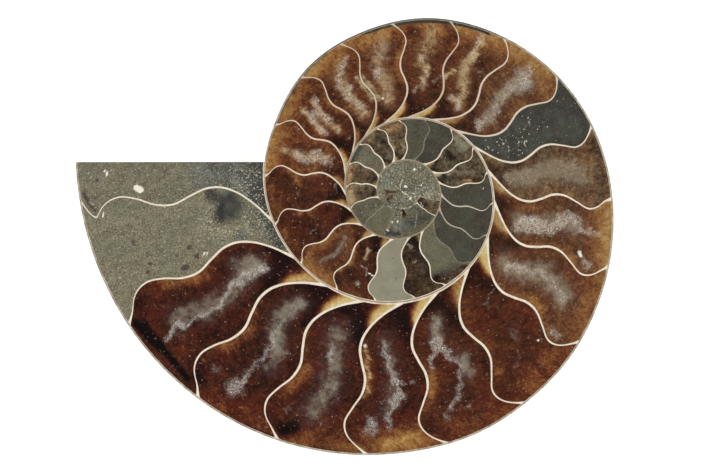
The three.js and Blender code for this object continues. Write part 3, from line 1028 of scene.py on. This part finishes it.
def rim_at(turn):
    """Radius of a whorl's outer edge."""
    radius = np.full_like(turn, MOUTH_RADIUS)
    for _ in range(5):  # each pass brings the radius and the turn closer together
        lead = np.arcsin(SAW_HEIGHT / np.maximum(radius, SEAM_RADIUS))
        radius = edge(np.degrees(-2 * np.pi * turn - lead))
    return radius


def seam_at(turn):
    """Radius of the seam between two whorls."""
    return SEAM_RADIUS * np.exp(GROWTH * 2 * np.pi * turn)


def share_at(turn, radius):
    """Share of the way from the seam, 0, to the rim, 1."""
    return (radius - seam_at(turn)) / (rim_at(turn) - seam_at(turn))


print("rim half a turn back, mm:", rim_at(np.array([-0.5])).round(2))


# %% How deep the back is
def fullness(turn):
    """Thickness at the crest, in mm."""
    inward = np.maximum(0, -turn - LEVEL_TURNS)
    return HALF_THICKNESS * np.exp(-GROWTH * 2 * np.pi * inward**2 / (inward + 0.1))


def flank_depth(turn, share):
    """Depth of the outer side below the polished face, with its ribs."""
    outward = np.maximum(0, (share - CREST) / (1 - CREST))
    fall = np.maximum(0, 1 - outward**2) ** FLANK_ROUNDNESS
    forward = RIB_SWEEP * np.sin(share * 1.5 * np.pi)
    wave = 0.5 - 0.5 * np.cos(2 * np.pi * RIBS_PER_TURN * (turn - forward))
    rib = RIB_HEIGHT * wave * window(share, *RIBS_RISE, *RIBS_END)
    return fullness(turn) * (fall + rib / HALF_THICKNESS)


def back_depth(turn, radius):
    """Depth of the whole back: the outer side, and the shoulder that falls to the whorl inside."""
    share = share_at(turn, radius)
    below = flank_depth(turn - 1, share_at(turn - 1, seam_at(turn)))
    rise = 1 - np.maximum(0, 1 - share / CREST) ** SHOULDER_ROUNDNESS[0]
    shoulder = below + (fullness(turn) - below) * np.maximum(rise, 0) ** SHOULDER_ROUNDNESS[1]
    return np.where(share >= CREST, flank_depth(turn, share), shoulder)


print("depth at the crest, in mm:", fullness(np.array([0.0, -0.5, -1.0, -2.0])).round(2))

# %% [markdown]
# ## Rows over the back
# The last whorl is one grid that starts at the points of the polished edge, so face and back meet
# exactly and nothing has to be welded. Rows crowd where the shell bends most, at the edge and at
# the seam. The hollow is a second grid that winds inward and ends in a small fan.

# %% The last whorl and the hollow
FLANK_ROWS = 34
SHOULDER_ROWS = 9
FLANK_CROWDING = 1.7  # rows crowd at the edge
SHOULDER_CROWDING = 1.5  # and at the seam
TURN_COLUMNS = 160
HOLLOW_TURNS = 1.5
HOLLOW_FLOOR = 1.5  # mm below the polished face


def back_grid(turn, outer, rows_in):
    """Points at shares of the way in from the outer radius to the seam."""
    turn = np.broadcast_to(turn, rows_in.shape)
    radius = outer + (seam_at(turn) - outer) * rows_in
    lead = np.arcsin(SAW_HEIGHT / np.maximum(radius, SEAM_RADIUS))
    angle = np.pi - lead - 2 * np.pi * turn
    depth = back_depth(turn, radius)
    return add_points(
        radius * np.cos(angle), radius * np.sin(angle), -np.maximum(depth, EDGE_ROUNDING),
        across=turn, up=share_at(turn, radius), cell=depth / HALF_THICKNESS)


rim_turn = turn_of(rim_back, edge(rim_back)).clip(-1, 0)
rim_turn[0], rim_turn[-1] = 0.0, -1.0
outer = rim_at(rim_turn)
to_shoulder = (outer - seam_at(rim_turn + 1)) / (outer - seam_at(rim_turn))
flank_rows = np.linspace(0, 1, FLANK_ROWS + 1)[1:, None] ** FLANK_CROWDING
shoulder_rows = np.linspace(0, 1, SHOULDER_ROWS + 1)[:, None]
shoulder_rows = 1 - (1 - shoulder_rows) ** SHOULDER_CROWDING
rows_in = np.concatenate([
    flank_rows * to_shoulder,
    to_shoulder + (1 - to_shoulder) * shoulder_rows[1:],
])
flank = np.vstack([rim_rings[-1][None, :], back_grid(rim_turn, outer, rows_in)])
grid_faces(flank, BACK)

inner_turn = np.linspace(-1, -1 - HOLLOW_TURNS, int(HOLLOW_TURNS * TURN_COLUMNS) + 1)
rows_in = np.repeat(shoulder_rows, inner_turn.size, axis=1)
hollow = back_grid(inner_turn, seam_at(inner_turn + 1), rows_in)
grid_faces(hollow, BACK)
bottom = int(add_points(0.0, 0.0, -HOLLOW_FLOOR, cell=0.1))
hollow_edge = hollow[-1, -TURN_COLUMNS - 1:].tolist() + hollow[:-1, -1][::-1].tolist()
add_faces([[bottom, b, a] for a, b in zip(hollow_edge, hollow_edge[1:] + hollow_edge[:1])], BACK)
print("back:", flank.size, "points, hollow:", hollow.size, "points")

# %% [markdown]
# ## The sawn mouth
# The saw went straight across the last whorl, so the mouth shows the whorl's section: mud inside a
# thin shell, with a notch where the inner whorl lay. Cutting the finished mesh with a plane would
# leave ragged triangles, so the section is a grid of its own between the two edges of the cut.

# %% The section across the mouth
MOUTH_COLUMNS = 90
MOUTH_LAYERS = 12
MOUTH_CORNER = -5.1  # degrees back where the cut leaves the outer edge
CORNER_GAP = 0.02  # mm kept from it
end_radius = np.linspace(float(edge(MOUTH_CORNER)) - CORNER_GAP, SEAM_RADIUS, MOUTH_COLUMNS)
under = back_depth(np.zeros_like(end_radius), end_radius)
inner_whorl = back_depth(np.full_like(end_radius, -1.0), end_radius)
over = np.where(end_radius > edge(FREE_END), 0.0, inner_whorl)
layers = np.linspace(0, 1, MOUTH_LAYERS)[:, None]
depth = over + (under - over) * layers
x = -np.sqrt(end_radius**2 - SAW_HEIGHT**2)
section = add_points(x, SAW_HEIGHT, -depth, up_mm=(1 - layers) * (under - over))
grid_faces(section, MOUTH, turned=True)
print("mouth:", section.size, "points, up to", round(float(under.max()), 2), "mm deep")

# %% [markdown]
# ## One piece of stone
# The half is one cemented stone, so all of it is one object with five finishes, and not a shell
# with fillings set in. It takes the place of the CAD node, and its coil centre is found by lining
# up the two outlines.

# %% The mesh
all_points = np.concatenate(points)
low, high = all_points.min(axis=0), all_points.max(axis=0)
cad_middle = (cad_low + cad_high) / 2 * 1000
middle = (low + high) / 2
shift = np.array([cad_middle.x - middle[0], cad_middle.y - middle[1], cad_high.z * 1000])
mesh = bpy.data.meshes.new("fossil_half")
mesh.from_pydata(((all_points + shift) / 1000).tolist(), [], faces)
for name in FIELDS:
    layer = mesh.attributes.new(name, "FLOAT", "POINT")
    layer.data.foreach_set("value", np.concatenate(fields[name]).astype(np.float32))
place = mesh.attributes.new("place", "FLOAT_VECTOR", "POINT")
place.data.foreach_set("vector", all_points.astype(np.float32).ravel())
mesh.polygons.foreach_set("material_index", face_finish)
mesh.polygons.foreach_set("use_smooth", [finish == BACK for finish in face_finish])
mesh.validate()
fossil = bpy.data.objects.new("fossil_half", mesh)
bpy.context.scene.collection.objects.link(fossil)
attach(fossil, "root")
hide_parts("ammonite_half")
triangles = sum(len(face) - 2 for face in faces)
print("coil centre in the frame, mm:", shift.round(3), "triangles:", triangles)

# %% [markdown]
# ## A small helper for finishes
# A finish is a tree of nodes. Linked by hand in the editor, a large one is hard to follow. Wire
# wraps the output of a node, so that maths on it reads as plain Python and adds its nodes by
# itself. Finish makes every other node.

# %% Wires
class Wire:
    """The output of a node, which can be added, multiplied and compared."""

    def __init__(self, socket):
        self.socket = socket

    def join(self, operation, other, swapped=False):
        """Adds a maths node that takes this wire and another wire or a number."""
        tree = self.socket.id_data
        vector = self.socket.type in ("VECTOR", "RGBA")
        node = tree.nodes.new("ShaderNodeVectorMath" if vector else "ShaderNodeMath")
        node.operation = operation
        pair = [self, other]
        if swapped:
            pair.reverse()
        for entry, socket in zip(pair, node.inputs):
            if isinstance(entry, Wire):
                tree.links.new(entry.socket, socket)
            elif entry is not None:
                spread = vector and isinstance(entry, (int, float))
                socket.default_value = (entry,) * 3 if spread else entry
        return Wire(node.outputs[0])

    def __add__(self, other):
        return self.join("ADD", other)

    def __radd__(self, other):
        return self.join("ADD", other)

    def __sub__(self, other):
        return self.join("SUBTRACT", other)

    def __rsub__(self, other):
        return self.join("SUBTRACT", other, swapped=True)

    def __mul__(self, other):
        return self.join("MULTIPLY", other)

    def __rmul__(self, other):
        return self.join("MULTIPLY", other)

    def __truediv__(self, other):
        return self.join("DIVIDE", other)

    def __abs__(self):
        return self.join("ABSOLUTE", None)

    def least(self, other):
        return self.join("MINIMUM", other)

    def most(self, other):
        return self.join("MAXIMUM", other)


print("wires also know:", [name for name in vars(Wire) if not name.startswith("_")])

# %% Colours of stone
LIGHT = 0.8  # share of the light that a colour in the picture stands for


def stone(red, green, blue):
    """A colour as it looks in the picture, from 0 to 255, as the stone's own colour."""
    shares = [value / 255 for value in (red, green, blue)]
    linear = [((s + 0.055) / 1.055) ** 2.4 if s > 0.04 else s / 12.92 for s in shares]
    return (*(LIGHT * share for share in linear), 1.0)


print("cream shell as a stone colour:", [round(v, 3) for v in stone(235, 222, 200)])


# %% Finishes
class Finish:
    """A material, with its one shader and the nodes that feed it."""

    def __init__(self, name, roughness):
        self.material = bpy.data.materials.new(name)
        self.material.use_nodes = True
        self.tree = self.material.node_tree
        self.shader = self.tree.nodes["Principled BSDF"]
        self.shader.inputs["Roughness"].default_value = roughness

    def node(self, kind, settings=None, values=None, output=0):
        """Any node: its settings first, then a value or a wire for each socket named."""
        made = self.tree.nodes.new(kind)
        for name, value in (settings or {}).items():
            if name == "stops":
                ramp = made.color_ramp
                while len(ramp.elements) < len(value):
                    ramp.elements.new(0.5)
                for element, (position, colour) in zip(ramp.elements, value):
                    element.position = position
                    element.color = colour
            else:
                setattr(made, name, value)
        for name, value in (values or {}).items():
            if isinstance(value, Wire):
                self.tree.links.new(value.socket, made.inputs[name])
            else:
                made.inputs[name].default_value = value
        return Wire(made.outputs[output])

    def amount(self, name):
        return self.node("ShaderNodeAttribute", {"attribute_name": name}, output="Fac")

    def place(self):
        return self.node("ShaderNodeAttribute", {"attribute_name": "place"}, output="Vector")

    def join_xyz(self, x, y, z):
        return self.node("ShaderNodeCombineXYZ", None, {"X": x, "Y": y, "Z": z})

    def noise(self, vector, scale, detail=2.0, roughness=0.5, warp=0.0):
        values = {"Vector": vector, "Scale": scale, "Detail": detail}
        values.update({"Roughness": roughness, "Distortion": warp})
        return self.node("ShaderNodeTexNoise", None, values)

    def cells(self, vector, scale):
        """Distance to the middle of the nearest scattered cell."""
        return self.node("ShaderNodeTexVoronoi", None, {"Vector": vector, "Scale": scale}, "Distance")

    def soft_step(self, value, start, end):
        """0 below start, 1 above end."""
        values = {"Value": value, "From Min": start, "From Max": end}
        return self.node("ShaderNodeMapRange", {"interpolation_type": "SMOOTHSTEP"}, values)

    def mix(self, amount, first, second):
        """A colour between two colours. A Mix node takes them at its sockets 6 and 7."""
        return self.node("ShaderNodeMix", {"data_type": "RGBA"}, {0: amount, 6: first, 7: second}, 2)

    def ramp(self, value, stops):
        """Colours along a value. A stop is its place and its red, green and blue in the picture."""
        colours = [(position, stone(*colour)) for position, *colour in stops]
        return self.node("ShaderNodeValToRGB", {"stops": colours}, {"Fac": value})

    def feed(self, name, wire):
        self.tree.links.new(wire.socket, self.shader.inputs[name])

    def bump(self, height, distance_mm):
        values = {"Height": height, "Distance": distance_mm / 1000}
        self.feed("Normal", self.node("ShaderNodeBump", None, values))


print("a finish can:", [name for name in vars(Finish) if not name.startswith("_")])

# %% [markdown]
# ## Calcite and mud
# Calcite lets light in, so its colour runs from black through brown and amber to yellow, and fine
# fibres stand at right angles to the nearest wall. Real glassy depth renders slowly and comes out
# noisy, so the glow is a number that picks the colour. Mud is opaque and grainy. One finish holds
# both, because inside a few chambers they meet in a ragged line.

# %% Clear calcite
filling_finish = Finish("chamber_filling", 0.16)
f = filling_finish
place = f.place()
along, up_mm, cell = f.amount("along_mm"), f.amount("up_mm"), f.amount("cell")
along_side = f.join_xyz(along * 0.5, up_mm * 2.6 - along * 0.6, cell)
along_roof = f.join_xyz(along * 2.6 + up_mm * 0.9, up_mm * 0.5, cell)
side_fibres = f.noise(along_side, 1.0, 3.0, 0.65, 0.6)
roof_fibres = f.noise(along_roof, 1.0, 3.0, 0.65, 0.6)
fibres = side_fibres + (roof_fibres - side_fibres) * f.amount("roofward")
blotches = f.noise(place, 0.3, 3.0, 0.6, 0.8)
patches = f.noise(place, 1.0, 4.0, 0.7, 0.5)
grains = f.noise(place, 2.4, 4.0, 0.75)
ragged = (patches - 0.5) * 0.5 + (grains - 0.5) * 0.55
glow = f.amount("glow") + (fibres - 0.5) * 0.42 + (blotches - 0.5) * 0.55 + ragged
CALCITE_STOPS = [
    (0.0, 14, 8, 6), (0.22, 30, 15, 10), (0.38, 66, 35, 22), (0.5, 108, 66, 37),
    (0.64, 152, 110, 58), (0.8, 190, 162, 92), (1.0, 220, 208, 156),
]
RED_STOPS = [
    (0.0, 14, 6, 8), (0.2, 36, 13, 11), (0.4, 88, 36, 22), (0.6, 144, 94, 50), (1.0, 216, 196, 136),
]
OLIVE_STOPS = [
    (0.0, 14, 12, 9), (0.22, 34, 27, 18), (0.42, 80, 64, 40), (0.62, 132, 112, 70),
    (1.0, 212, 200, 152),
]
light = (glow + 0.3) / 1.4
reddish = f.soft_step(f.noise(place, 0.16, 2.0, 0.5), 0.42, 0.62)
olive = f.amount("olive")
calcite = f.ramp(light, CALCITE_STOPS)
calcite = f.mix(reddish * 0.5 + 0.25, calcite, f.ramp(light, RED_STOPS))
calcite = f.mix(olive * 0.75, calcite, f.ramp(light, OLIVE_STOPS))
print("calcite:", len(CALCITE_STOPS), "amber,", len(RED_STOPS), "red and",
      len(OLIVE_STOPS), "olive stops")

# %% [markdown]
# ## Milk, clouds and crystals
# Where calcite grew fast it is full of tiny gaps, which makes it milky or cloudy. Last of all,
# white crystals grew into what was left of the hollow. They could be modelled, but polishing has
# cut them flush, so only colour is left: clouds with torn edges, and in them a fine white web.

# %% Milky calcite, clouds and crystals
milk = f.amount("milk") * (1.7 * patches + 1.3 * blotches + 1.9 * (fibres - 0.5) - 0.55)
thick = f.soft_step(milk + (grains - 0.5) * 0.9, 0.1, 0.9)
tan = f.mix(thick, stone(140, 86, 46), stone(190, 164, 118))
lumpy = f.soft_step(patches + (grains - 0.5) * 0.6, 0.3, 0.7)
muddy = f.mix(lumpy, stone(66, 56, 42), stone(134, 126, 102))
milky = f.mix(olive, tan, muddy)
calcite = f.mix(milk.least(0.9), calcite, milky)
thickness = f.noise(place, 0.45, 3.0, 0.6, 0.3)
cloud = f.soft_step(f.amount("haze") * (0.35 + 1.2 * thickness) + ragged * 0.3, 0.05, 1.45)
deep = f.soft_step(cloud + (patches - 0.5) * 0.9 + (grains - 0.5) * 0.5, 0.25, 1.2)
cloud_colour = f.mix(deep, stone(78, 54, 52), stone(142, 134, 117))
cloud_colour = f.mix(olive * 0.6, cloud_colour, stone(116, 110, 86))
cloud_colour = f.mix((milk * 1.2).least(0.6), cloud_colour, milky)
calcite = f.mix(cloud * 0.84, calcite, cloud_colour)
torn = f.noise(place, 1.1, 4.0, 0.65, 1.2)
needles = f.noise(place, 2.3, 3.0, 0.6, 0.8)
crystals = f.noise(place, 2.9, 3.0, 0.7, 0.5)
druse = f.amount("druse")
frost = f.soft_step(druse * (0.2 + 1.6 * torn) + ragged * 0.8, 0.2, 1.3)
frost_colour = f.mix((f.amount("milk") * 3).least(1.0), stone(140, 130, 120), stone(168, 138, 102))
calcite = f.mix(frost * 0.42, calcite, frost_colour)
gaps = f.soft_step(0.47 - crystals, 0.0, 0.08) * frost
calcite = f.mix(gaps * 0.45, calcite, stone(64, 46, 40))
web = 1 - f.soft_step(abs(torn - 0.5).least(abs(needles - 0.5)), 0.0, 0.022)
facets = f.soft_step(crystals, 0.54, 0.64) * f.soft_step(torn + (thickness - 0.5) * 0.8, 0.4, 0.6)
vein = web.most(facets) * f.soft_step(druse + ragged * 1.1, 0.25, 1.0)
calcite = f.mix(vein * 0.78, calcite, stone(230, 225, 216))
print("with milk, clouds and crystals:", len(f.tree.nodes), "nodes")

# %% Specks and scratches in the calcite
dots = f.soft_step(0.36 - f.cells(place, 1.7) + (grains - 0.5) * 0.3, 0.1, 0.2)
chosen = f.soft_step(f.noise(place, 1.7, 0.0) + cloud * 0.15, 0.56, 0.72)
calcite = f.mix(dots * chosen * 0.5, calcite, stone(184, 158, 134))
hair = 1 - f.soft_step(abs(f.noise(place, 0.7, 1.0, 0.5, 0.6) - 0.5), 0.0, 0.012)
scratched = hair * f.soft_step(f.noise(place, 0.9, 2.0), 0.53, 0.66)
calcite = f.mix(scratched * 0.42, calcite, stone(164, 132, 104))
print("with specks and scratches:", len(f.tree.nodes), "nodes")

# %% [markdown]
# ## Hardened mud
# The mud is fine silt with sand, shell crumbs and iron stains. A picture of real mud would repeat,
# so its tone comes from two noises, whose strength grows with the graininess of the place. Blue,
# green and yellow tints and pale crumbs are laid over it.

# %% Mud
coarse = f.noise(place, 0.6, 4.0, 0.7, 0.4)
sand = f.noise(place, 3.4, 3.0, 0.75)
grain = f.amount("grain")
lumps = (coarse - 0.5) * (0.16 + grain * 0.7)
grit = (sand - 0.5) * (0.26 + grain * 1.9)
tone = f.amount("tone") + lumps + grit
MUD_STOPS = [
    (0.0, 36, 35, 30), (0.16, 54, 50, 42), (0.45, 100, 95, 73), (0.6, 122, 115, 89),
    (1.0, 146, 143, 124),
]
YELLOW_MUD_STOPS = [
    (0.1, 70, 56, 34), (0.5, 132, 112, 74), (0.9, 176, 162, 122),
]
BLUE_MUD_STOPS = [
    (0.0, 34, 38, 38), (0.3, 80, 86, 82), (1.0, 150, 150, 138),
]
mud = f.ramp(tone, MUD_STOPS)
yellow = f.soft_step(f.noise(place, 1.6, 2.0, 0.6), 0.55, 0.7) * grain
mud = f.mix((yellow * 0.45).least(0.5), mud, f.ramp(tone, YELLOW_MUD_STOPS))
blue = f.soft_step(f.amount("haze") + (coarse - 0.5) * 0.6, 0.1, 0.8)
mud = f.mix(blue * 0.8, mud, f.ramp(tone, BLUE_MUD_STOPS))
green = f.soft_step(f.noise(place, 0.22, 3.0), 0.45, 0.6)
mud = f.mix(green * 0.2, mud, stone(84, 92, 76))
print("mud:", len(MUD_STOPS), "grey,", len(YELLOW_MUD_STOPS), "yellow and",
      len(BLUE_MUD_STOPS), "blue stops")

# %% Grains in the mud
salt = f.soft_step(f.noise(place, 2.2, 2.0, 0.6) + grain * 0.06, 0.66, 0.78) * grain
mud = f.mix((salt * 0.8).least(0.75), mud, stone(190, 182, 152))
crumbs = f.soft_step(0.38 - f.cells(place, 2.8), 0.0, 0.14)
chosen = f.soft_step(f.noise(place, 2.8, 0.0), 0.44, 0.56)
mud = f.mix(crumbs * chosen * f.soft_step(grain, 1.1, 1.8) * 0.9, mud, stone(196, 184, 144))
chosen = f.soft_step(druse * 0.2 + (f.noise(place, 2.3, 0.0) - 0.5), 0.23, 0.3)
chosen = chosen * f.soft_step(druse, 0.02, 0.2)
flecks = f.soft_step(0.34 - f.cells(place, 2.3), 0.0, 0.14) * chosen
mud = f.mix(flecks * 0.85, mud, stone(206, 202, 180))
pepper = f.soft_step(0.36 - f.noise(place, 1.9, 3.0, 0.7), 0.0, 0.06) * grain
mud = f.mix(pepper.least(0.6), mud, stone(56, 52, 42))
print("with grains:", len(f.tree.nodes), "nodes")

# %% Marks, and where mud meets calcite
mud_share = f.amount("mud") + (coarse - 0.5) * 0.9 + (grains - 0.5) * 0.7
mud_share = f.soft_step(mud_share, 0.3, 0.62)
mark = f.amount("mark")
torn_edge = (grains - 0.5) * 0.6
white_mark = f.soft_step(mark + torn_edge, 0.12, 0.5)
# dark marks: the stone's own dark specks, and painted shade in the shallow pits and along the saw cut
dark_specks_and_painted_shade = f.soft_step(-1 * mark + torn_edge, 0.12, 0.5)
colour = f.mix(mud_share, calcite, mud)
colour = f.mix(white_mark, colour, stone(232, 226, 210))
colour = f.mix(dark_specks_and_painted_shade * 0.88, colour, stone(50, 34, 20))
f.feed("Base Color", colour)
roughness = 0.14 + mud_share * (0.16 + grain * 0.12) + vein * 0.08
f.feed("Roughness", roughness + f.soft_step(-1 * mark, 0.1, 0.5) * 0.2)
f.bump(sand * grain * mud_share, 0.04)
print("chamber filling:", len(f.tree.nodes), "nodes")

# %% [markdown]
# ## Chamber walls
# The walls are shell, cream white and a little brown where calcite shines through at their sides.
# Some walls in mud were dissolved and hardly show. Leaving those out would tear the mesh, so
# every wall is there and its finish can fade towards the colour beside it.

# %% The wall finish
wall_finish = Finish("chamber_wall", 0.2)
f = wall_finish
place = f.place()
across = f.amount("across")
middle = 1 - abs(across * 2 - 1)
patches = f.noise(place, 1.4, 3.0, 0.6)
cream = f.mix(f.soft_step(patches, 0.3, 0.7), stone(242, 235, 220), stone(218, 205, 182))
cream = f.mix(f.soft_step(middle + (patches - 0.5) * 0.4, 0.0, 0.4), stone(184, 162, 128), cream)
faded_in_mud = f.mix(f.noise(place, 2.2), stone(64, 60, 52), stone(110, 104, 92))
faded = f.mix(f.amount("mud"), stone(158, 124, 96), faded_in_mud)
colour = f.mix(f.soft_step(f.amount("pale") + (patches - 0.5) * 0.5, 0.05, 0.95), faded, cream)
f.feed("Base Color", colour)
print("chamber wall:", len(f.tree.nodes), "nodes")

# %% [markdown]
# ## Shell at the edge and between whorls
# The outer shell shows as a thin grey line round the polished face. Between whorls there are two
# shells, one of each whorl, with a brownish seam between them. Both lines are too thin for parts
# of their own, so one finish tells them apart by the share up that their points carry.

# %% The shell finish
shell_finish = Finish("shell_on_edge", 0.25)
f = shell_finish
place = f.place()
level = f.amount("up")
patches = f.noise(place, 0.7, 4.0, 0.65)
outer_shell = f.mix(f.soft_step(patches, 0.35, 0.65), stone(186, 179, 162), stone(142, 130, 110))
outer_shell = f.mix(f.amount("pale"), stone(54, 52, 46), outer_shell)
cream = f.mix(f.soft_step(patches, 0.35, 0.7), stone(232, 222, 202), stone(198, 184, 160))
from_centre = f.node("ShaderNodeVectorMath", {"operation": "LENGTH"}, {0: place}, output="Value")
cream = f.mix(f.soft_step(from_centre, 9.0, 17.0), stone(160, 148, 124), cream)
seam = f.soft_step(abs(level - 0.62), 0.0, 0.3)
between = f.mix(seam, stone(128, 104, 80), cream)
f.feed("Base Color", f.mix(f.soft_step(level, 1.0, 1.25), between, outer_shell))
print("shell on the edge:", len(f.tree.nodes), "nodes")

# %% [markdown]
# ## The worn back
# The back isn't polished. Brown and tan shell is worn through to darker stone in patches, fine
# growth lines follow the sickle shape, and dust of the old mud stays in the hollow. The lines are
# finer than any mesh here, so they are noise stretched along the ribs, with a little bump.

# %% The finish of the back
back_finish = Finish("worn_back", 0.42)
f = back_finish
place = f.place()
turns, share, depth = f.amount("across"), f.amount("up"), f.amount("cell")
sickle = f.node("ShaderNodeMath", {"operation": "SINE"}, {0: share * 4.7}) * RIB_SWEEP
growth = f.noise(f.join_xyz((turns - sickle) * 260, share * 2.0, 0.0), 1.0, 2.0, 0.6)
broad = f.noise(place, 0.09, 4.0, 0.6, 0.5)
worn = f.noise(place, 0.35, 5.0, 0.65, 0.4)
fine = f.noise(place, 2.4, 4.0, 0.7)
shell = f.ramp(broad + (worn - 0.5) * 0.7, [
    (0.28, 66, 48, 34), (0.45, 120, 88, 60), (0.58, 160, 128, 92), (0.75, 192, 176, 150),
])
shell = f.mix(f.soft_step(growth, 0.35, 0.7) * 0.28, shell, stone(84, 62, 44))
shell = f.mix(f.soft_step(fine, 0.6, 0.75) * 0.3, shell, stone(205, 190, 166))
dust = f.soft_step(1 - depth + (worn - 0.5) * 0.5, 0.62, 0.95) * f.soft_step(0.3 - share, 0.0, 0.2)
f.feed("Base Color", f.mix(dust * 0.8, shell, stone(112, 106, 88)))
f.feed("Roughness", 0.36 + worn * 0.25)
f.bump(growth * 0.5 + worn * 0.4 + fine * 0.15, 0.25)
print("worn back:", len(f.tree.nodes), "nodes")

# %% [markdown]
# ## The sawn mouth
# The saw left the mouth dull: grey mud inside the thin brown shell. The points carry their depth
# under the shell, so one step between two colours is enough.

# %% The finish of the mouth
mouth_finish = Finish("sawn_mouth", 0.55)
f = mouth_finish
place = f.place()
mud = f.ramp(f.noise(place, 1.1, 4.0, 0.7) + (f.noise(place, 4.0, 3.0, 0.7) - 0.5) * 0.5, [
    (0.3, 62, 59, 49), (0.5, 102, 96, 78), (0.7, 140, 132, 110),
])
near_shell = f.soft_step(f.amount("up_mm"), 0.3, 0.55)
f.feed("Base Color", f.mix(near_shell, stone(176, 158, 132), mud))
f.bump(f.noise(place, 2.5, 3.0), 0.12)
for finish in (filling_finish, wall_finish, shell_finish, back_finish, mouth_finish):
    fossil.data.materials.append(finish.material)
print("finishes on the fossil:", [m.name for m in fossil.data.materials])

# %% [markdown]
# ## The floor
# A picture of a specimen is taken from straight above on plain white. The floor is a wide sheet
# that glows a little, so it comes out white without so much light that the stone goes pale.

# %% A white sheet
FLOOR_HALF = 1.2  # m
FLOOR_FINISH = {
    "Base Color": (0.95, 0.95, 0.95, 1),
    "Specular IOR Level": 0.0,
    "Emission Color": (1, 1, 1, 1),
    "Emission Strength": 0.3,
}
corners = [(-1, -1), (1, -1), (1, 1), (-1, 1)]
floor_mesh = bpy.data.meshes.new("floor")
floor_mesh.from_pydata([(FLOOR_HALF * x, FLOOR_HALF * y, 0) for x, y in corners], [], [(0, 1, 2, 3)])
floor = bpy.data.objects.new("floor", floor_mesh)
bpy.context.scene.collection.objects.link(floor)
white_floor = Finish("white_floor", 0.9)
for socket, value in FLOOR_FINISH.items():
    white_floor.shader.inputs[socket].default_value = value
floor_mesh.materials.append(white_floor.material)
print("floor:", 2 * FLOOR_HALF, "m wide")

# %% [markdown]
# ## The lights
# A polished face mirrors whatever stands above it. So the lamps are large and soft and stand low
# at the four sides: from there light reaches the stone, but no lamp shows in the polish.

# %% Four soft lamps
LAMPS = {"left": (-1, 0.25), "far": (-0.2, 1), "right": (1, 0.1), "near": (0.15, -1)}
LAMP_AWAY = 0.75  # m from the fossil
LAMP_UP = 0.62  # m
LAMP_SIZE = 0.7  # m
LAMP_WATTS = 5.6
ROOM_LIGHT = 0.08
for name, (x, y) in LAMPS.items():
    lamp = bpy.data.lights.new("lamp_" + name, "AREA")
    lamp.size = LAMP_SIZE
    lamp.energy = LAMP_WATTS
    holder = bpy.data.objects.new("lamp_" + name, lamp)
    bpy.context.scene.collection.objects.link(holder)
    holder.location = (LAMP_AWAY * x, LAMP_AWAY * y, LAMP_UP)
    towards = -holder.location
    holder.rotation_euler = towards.to_track_quat("-Z", "Y").to_euler()
world = bpy.data.worlds.new("studio")
bpy.context.scene.world = world
world.use_nodes = True
room = world.node_tree.nodes["Background"]
room.inputs["Color"].default_value = (1, 1, 1, 1)
room.inputs["Strength"].default_value = ROOM_LIGHT
print(len(LAMPS), "lamps of", LAMP_WATTS, "W")

# %% [markdown]
# ## The camera
# The camera looks straight down, as a copy stand holds it. A long lens keeps the high face and the
# low edge in the same scale, and the place above the coil follows from where the coil's centre
# lies in the picture.

# %% Straight above
PICTURE = (708, 472)  # pixels
MM_PER_PIXEL = 100 / 537  # the fossil is 100 mm and 537 pixels wide
COIL_CENTRE = (402.2, 191.0)  # pixels from the top left corner
LENS = 85.0  # mm
SENSOR = 36.0  # mm
camera_data = bpy.data.cameras.new("camera")
camera_data.lens = LENS
camera_data.sensor_width = SENSOR
camera_data.clip_start, camera_data.clip_end = 0.01, 10
camera = bpy.data.objects.new("camera", camera_data)
bpy.context.scene.collection.objects.link(camera)
bpy.context.scene.camera = camera
half_width = PICTURE[0] * MM_PER_PIXEL / 2000
height = half_width / (SENSOR / 2 / LENS)
aim_x = shift[0] - (COIL_CENTRE[0] - PICTURE[0] / 2) * MM_PER_PIXEL
aim_y = shift[1] + (COIL_CENTRE[1] - PICTURE[1] / 2) * MM_PER_PIXEL
camera.location = (aim_x / 1000, aim_y / 1000, cad_high.z + height)
bpy.context.scene.view_settings.view_transform = "Standard"
print("camera stands", round(height, 3), "m above the polished face")

# %% [markdown]
# ## The end
